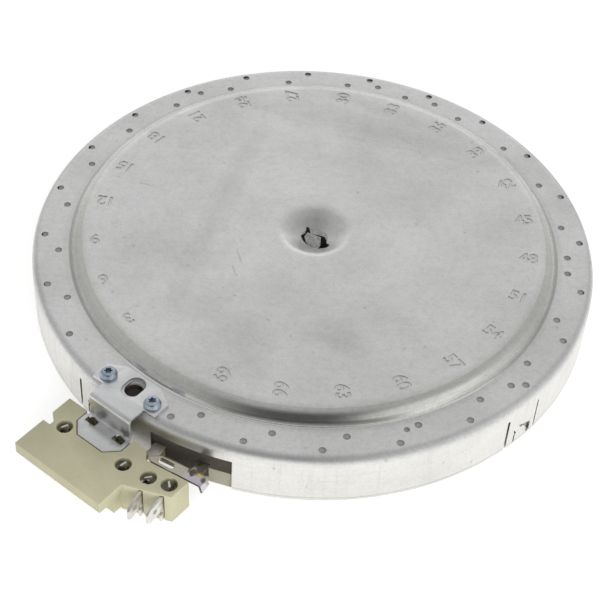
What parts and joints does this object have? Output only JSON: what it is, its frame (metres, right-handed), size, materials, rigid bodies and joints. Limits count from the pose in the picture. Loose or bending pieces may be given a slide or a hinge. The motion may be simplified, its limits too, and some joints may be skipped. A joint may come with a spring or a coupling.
{
  "type": "radiant hob heating element",
  "caption": "Round radiant heating element for a glass-ceramic hob: steel pan with stepped underside, insulation, spiral heater ribbon and a rod temperature limiter with spade terminals.",
  "frame": {"origin": "pan axis in the plane where the insulation ring meets the glass", "axes": "+Z away from the glass, out of the closed bottom of the pan, as the picture shows it lying face down; the temperature limiter points to -Y; +X to the side of the two large spade terminals"},
  "size_m": [0.2, 0.2297, 0.026],
  "materials": {
    "pan_steel": "satin drawn coated steel sheet",
    "microporous": "matt pressed powder",
    "fibre_ring": "matt fibre",
    "heater_alloy": "oxidised foil",
    "lead_alloy": "annealed strip",
    "bracket_steel": "satin stainless sheet",
    "screw_zinc": "blue zinc plate",
    "steatite": "matt unglazed steatite",
    "cover_steatite": "matt unglazed steatite",
    "rivet_steel": "plain",
    "holder_steel": "plain",
    "quartz": "clear drawn tube",
    "rod_alloy": "drawn wire",
    "spring_alloy": "rolled spring strip",
    "contact_silver": "plain",
    "terminal_nickel": "nickel plate",
    "strap_alloy": "heat tinted strip"
  },
  "bodies": {
    "element": {"pan": "pan_steel", "insulation_base": "microporous", "insulation_ring": "fibre_ring", "heater_ribbon": "heater_alloy", "heater_lead_inner": "lead_alloy", "heater_lead_outer": "lead_alloy", "mounting_bracket": "bracket_steel", "bracket_screws": "screw_zinc", "limiter_housing": "steatite", "limiter_cover": "cover_steatite", "cover_rivets": "rivet_steel", "tube_holder": "holder_steel", "limiter_tube": "quartz", "rod_anchor": "rod_alloy", "signal_fixed_rivet": "contact_silver", "signal_fixed_terminal": "terminal_nickel", "signal_arm_terminal": "terminal_nickel", "power_fixed_rivet": "contact_silver", "power_arm_carrier": "terminal_nickel", "line_terminal": "terminal_nickel", "neutral_terminal": "terminal_nickel", "connecting_strap": "strap_alloy"},
    "rod": {"expansion_rod": "rod_alloy", "plunger": "cover_steatite"},
    "signal_arm": {"signal_contact_arm": "spring_alloy", "signal_moving_rivet": "contact_silver"},
    "power_arm": {"power_contact_arm": "spring_alloy", "power_moving_rivet": "contact_silver"}
  },
  "joints": [
    {"name": "rod_slide", "type": "slide", "parent": "element", "child": "rod", "axis": [0, -1, 0], "range_m": [0, 0.001], "stiffness_N_per_m": 400},
    {"name": "signal_flex", "type": "hinge", "parent": "element", "child": "signal_arm", "pos_m": [-0.007, -0.1087, 0.004], "axis": [0, 0, -1], "range_deg": [0, 8.2]},
    {"name": "power_flex", "type": "hinge", "parent": "element", "child": "power_arm", "pos_m": [0.0125, -0.11469, 0.004], "axis": [0, 0, 1], "range_deg": [0, 4.6]}
  ],
  "couplings": [
    {"joint": "signal_flex", "follows": "rod_slide", "rad_per_m": 142.86},
    {"joint": "power_flex", "follows": "rod_slide", "rad_per_m": 80}
  ]
}
